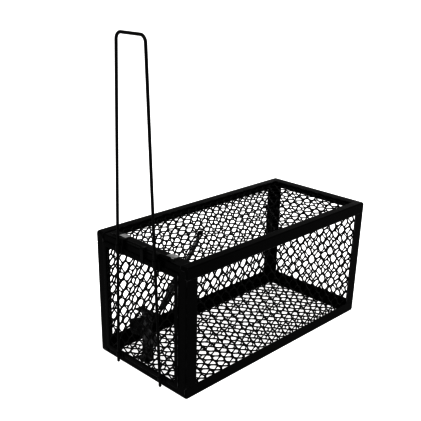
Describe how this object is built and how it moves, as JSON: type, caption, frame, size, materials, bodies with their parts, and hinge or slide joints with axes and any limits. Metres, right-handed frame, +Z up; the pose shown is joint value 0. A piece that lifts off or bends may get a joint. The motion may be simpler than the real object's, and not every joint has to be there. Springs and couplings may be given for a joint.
{
  "type": "live catch trap",
  "caption": "Live catch cage trap: steel angle frame with mesh panels, a top-hinged end door worked by a tall wire lever, a closing spring and a hanging bait hook.",
  "frame": {"origin": "middle of the base of the whole trap's box, on the plane that it stands on", "axes": "+Z up, X along the cage with the door at the -X end, +Y across the cage"},
  "size_m": [0.2654, 0.122, 0.3092],
  "materials": {
    "frame_paint": "gloss black paint",
    "mesh_paint": "thick gloss black paint on mesh strands",
    "wire_paint": "satin black painted wire",
    "spring_wire": "dark painted spring steel",
    "bare_steel": "worn steel showing through the paint"
  },
  "bodies": {
    "cage": {"post_door_left": "frame_paint", "post_door_right": "frame_paint", "post_rear_left": "frame_paint", "post_rear_right": "frame_paint", "roof_rail_left": "frame_paint", "roof_rail_right": "frame_paint", "roof_rail_door": "frame_paint", "roof_rail_rear": "frame_paint", "floor_rail_left": "frame_paint", "floor_rail_right": "frame_paint", "floor_rail_door": "frame_paint", "floor_rail_rear": "frame_paint", "mesh_roof": "mesh_paint", "mesh_floor": "mesh_paint", "mesh_left": "mesh_paint", "mesh_right": "mesh_paint", "mesh_rear": "mesh_paint", "hinge_wire": "wire_paint", "roof_strap_left": "bare_steel", "roof_strap_right": "bare_steel", "spring_anchor": "frame_paint", "hook_pivot_wire": "wire_paint", "hook_pivot_tabs": "frame_paint"},
    "door": {"door_border_top": "frame_paint", "door_border_bottom": "frame_paint", "door_border_left": "frame_paint", "door_border_right": "frame_paint", "door_mesh": "mesh_paint", "door_strut": "frame_paint", "spring_bracket": "frame_paint", "door_loop_left": "frame_paint", "door_loop_middle": "frame_paint", "door_loop_right": "frame_paint", "lever": "wire_paint", "clip_top_left": "frame_paint", "clip_top_right": "frame_paint", "clip_bottom_left": "frame_paint", "clip_bottom_right": "frame_paint"},
    "spring": {"closing_spring": "spring_wire"},
    "spring_end": {"spring_lower_loop": "spring_wire"},
    "hook": {"bait_hook": "wire_paint"}
  },
  "joints": [
    {"name": "door_hinge", "type": "hinge", "parent": "cage", "child": "door", "pos_m": [-0.12483, 0, 0.12905], "axis": [0, 1, 0], "range_deg": [0, 90], "stiffness_Nm_per_rad": 0.05, "springref_deg": -28.65},
    {"name": "spring_swing", "type": "hinge", "parent": "cage", "child": "spring", "pos_m": [-0.05233, 0, 0.12], "axis": [0, 1, 0], "range_deg": [0, 50]},
    {"name": "spring_stretch", "type": "slide", "parent": "spring", "child": "spring_end", "axis": [-0.6378, 0, -0.7702], "range_m": [0, 0.07], "deforming": ["closing_spring", "spring_lower_loop"]},
    {"name": "hook_swing", "type": "hinge", "parent": "cage", "child": "hook", "pos_m": [0.05362, 0, 0.1241], "axis": [0, 1, 0], "range_deg": [-35, 20]}
  ],
  "couplings": [
    {"joint": "spring_swing", "follows": "door_hinge", "ratio": 0.51405},
    {"joint": "spring_stretch", "follows": "door_hinge", "m_per_rad": 0.04}
  ]
}
